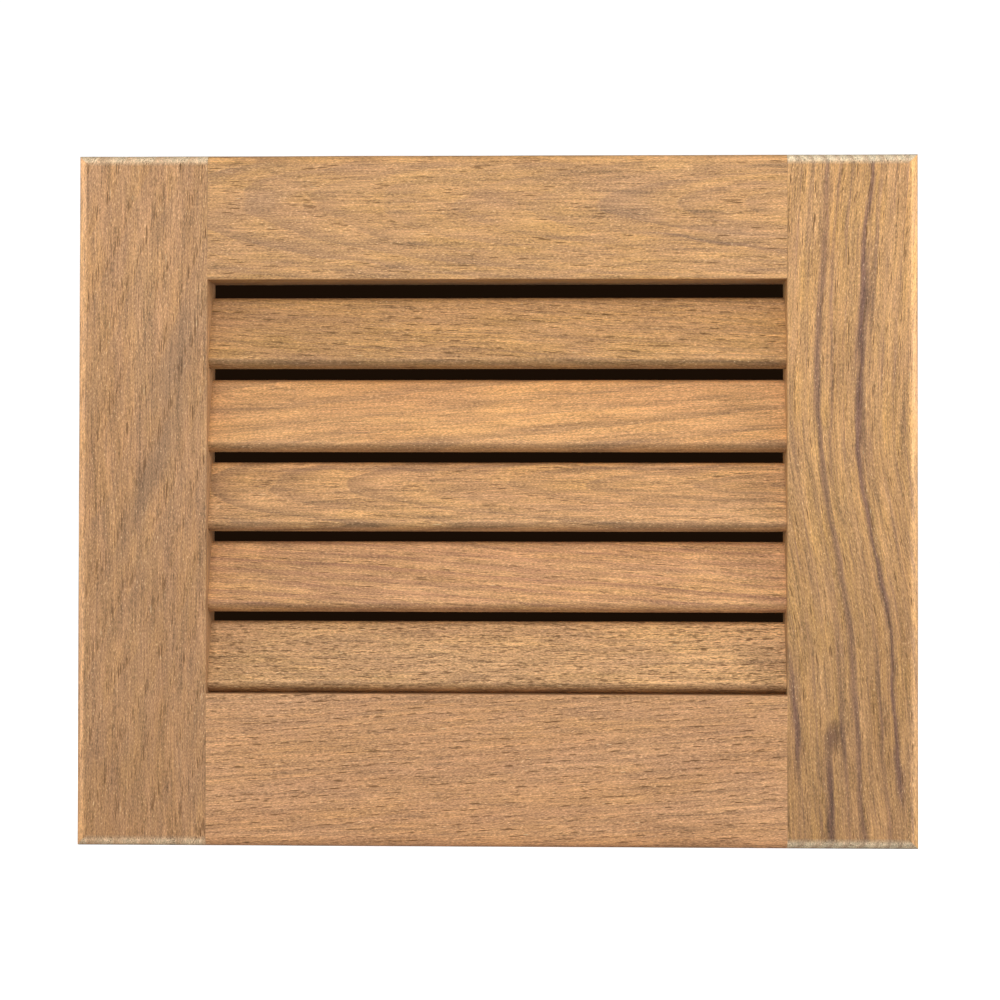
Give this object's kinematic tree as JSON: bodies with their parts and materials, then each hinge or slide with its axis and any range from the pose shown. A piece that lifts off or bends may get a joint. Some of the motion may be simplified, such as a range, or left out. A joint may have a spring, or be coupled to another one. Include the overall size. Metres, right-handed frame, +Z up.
{
  "type": "louvred vent panel",
  "caption": "Rectangular louvred wooden vent panel: upright stiles and cross rails hold fixed slats that lean back so that air passes between them.",
  "frame": {"origin": "middle of the bottom edge, halfway through the panel's thickness, at the lowest point of the bounding box", "axes": "+X to the right along the panel's width, +Y from the front face to the back face, +Z up"},
  "size_m": [0.3048, 0.022, 0.251],
  "materials": {
    "stile_teak": "sanded and lightly oiled teak, satin",
    "rail_teak": "sanded and lightly oiled teak, satin",
    "slat_teak": "sanded and lightly oiled teak, satin",
    "dowel_hardwood": "bare beech, fluted"
  },
  "bodies": {
    "root": {"left_stile": "stile_teak", "right_stile": "stile_teak", "top_rail": "rail_teak", "bottom_rail": "rail_teak", "slat_1": "slat_teak", "slat_2": "slat_teak", "slat_3": "slat_teak", "slat_4": "slat_teak", "slat_5": "slat_teak", "dowel_top_left_upper": "dowel_hardwood", "dowel_top_left_lower": "dowel_hardwood", "dowel_top_right_upper": "dowel_hardwood", "dowel_top_right_lower": "dowel_hardwood", "dowel_bottom_left_upper": "dowel_hardwood", "dowel_bottom_left_lower": "dowel_hardwood", "dowel_bottom_right_upper": "dowel_hardwood", "dowel_bottom_right_lower": "dowel_hardwood"}
  },
  "joints": []
}
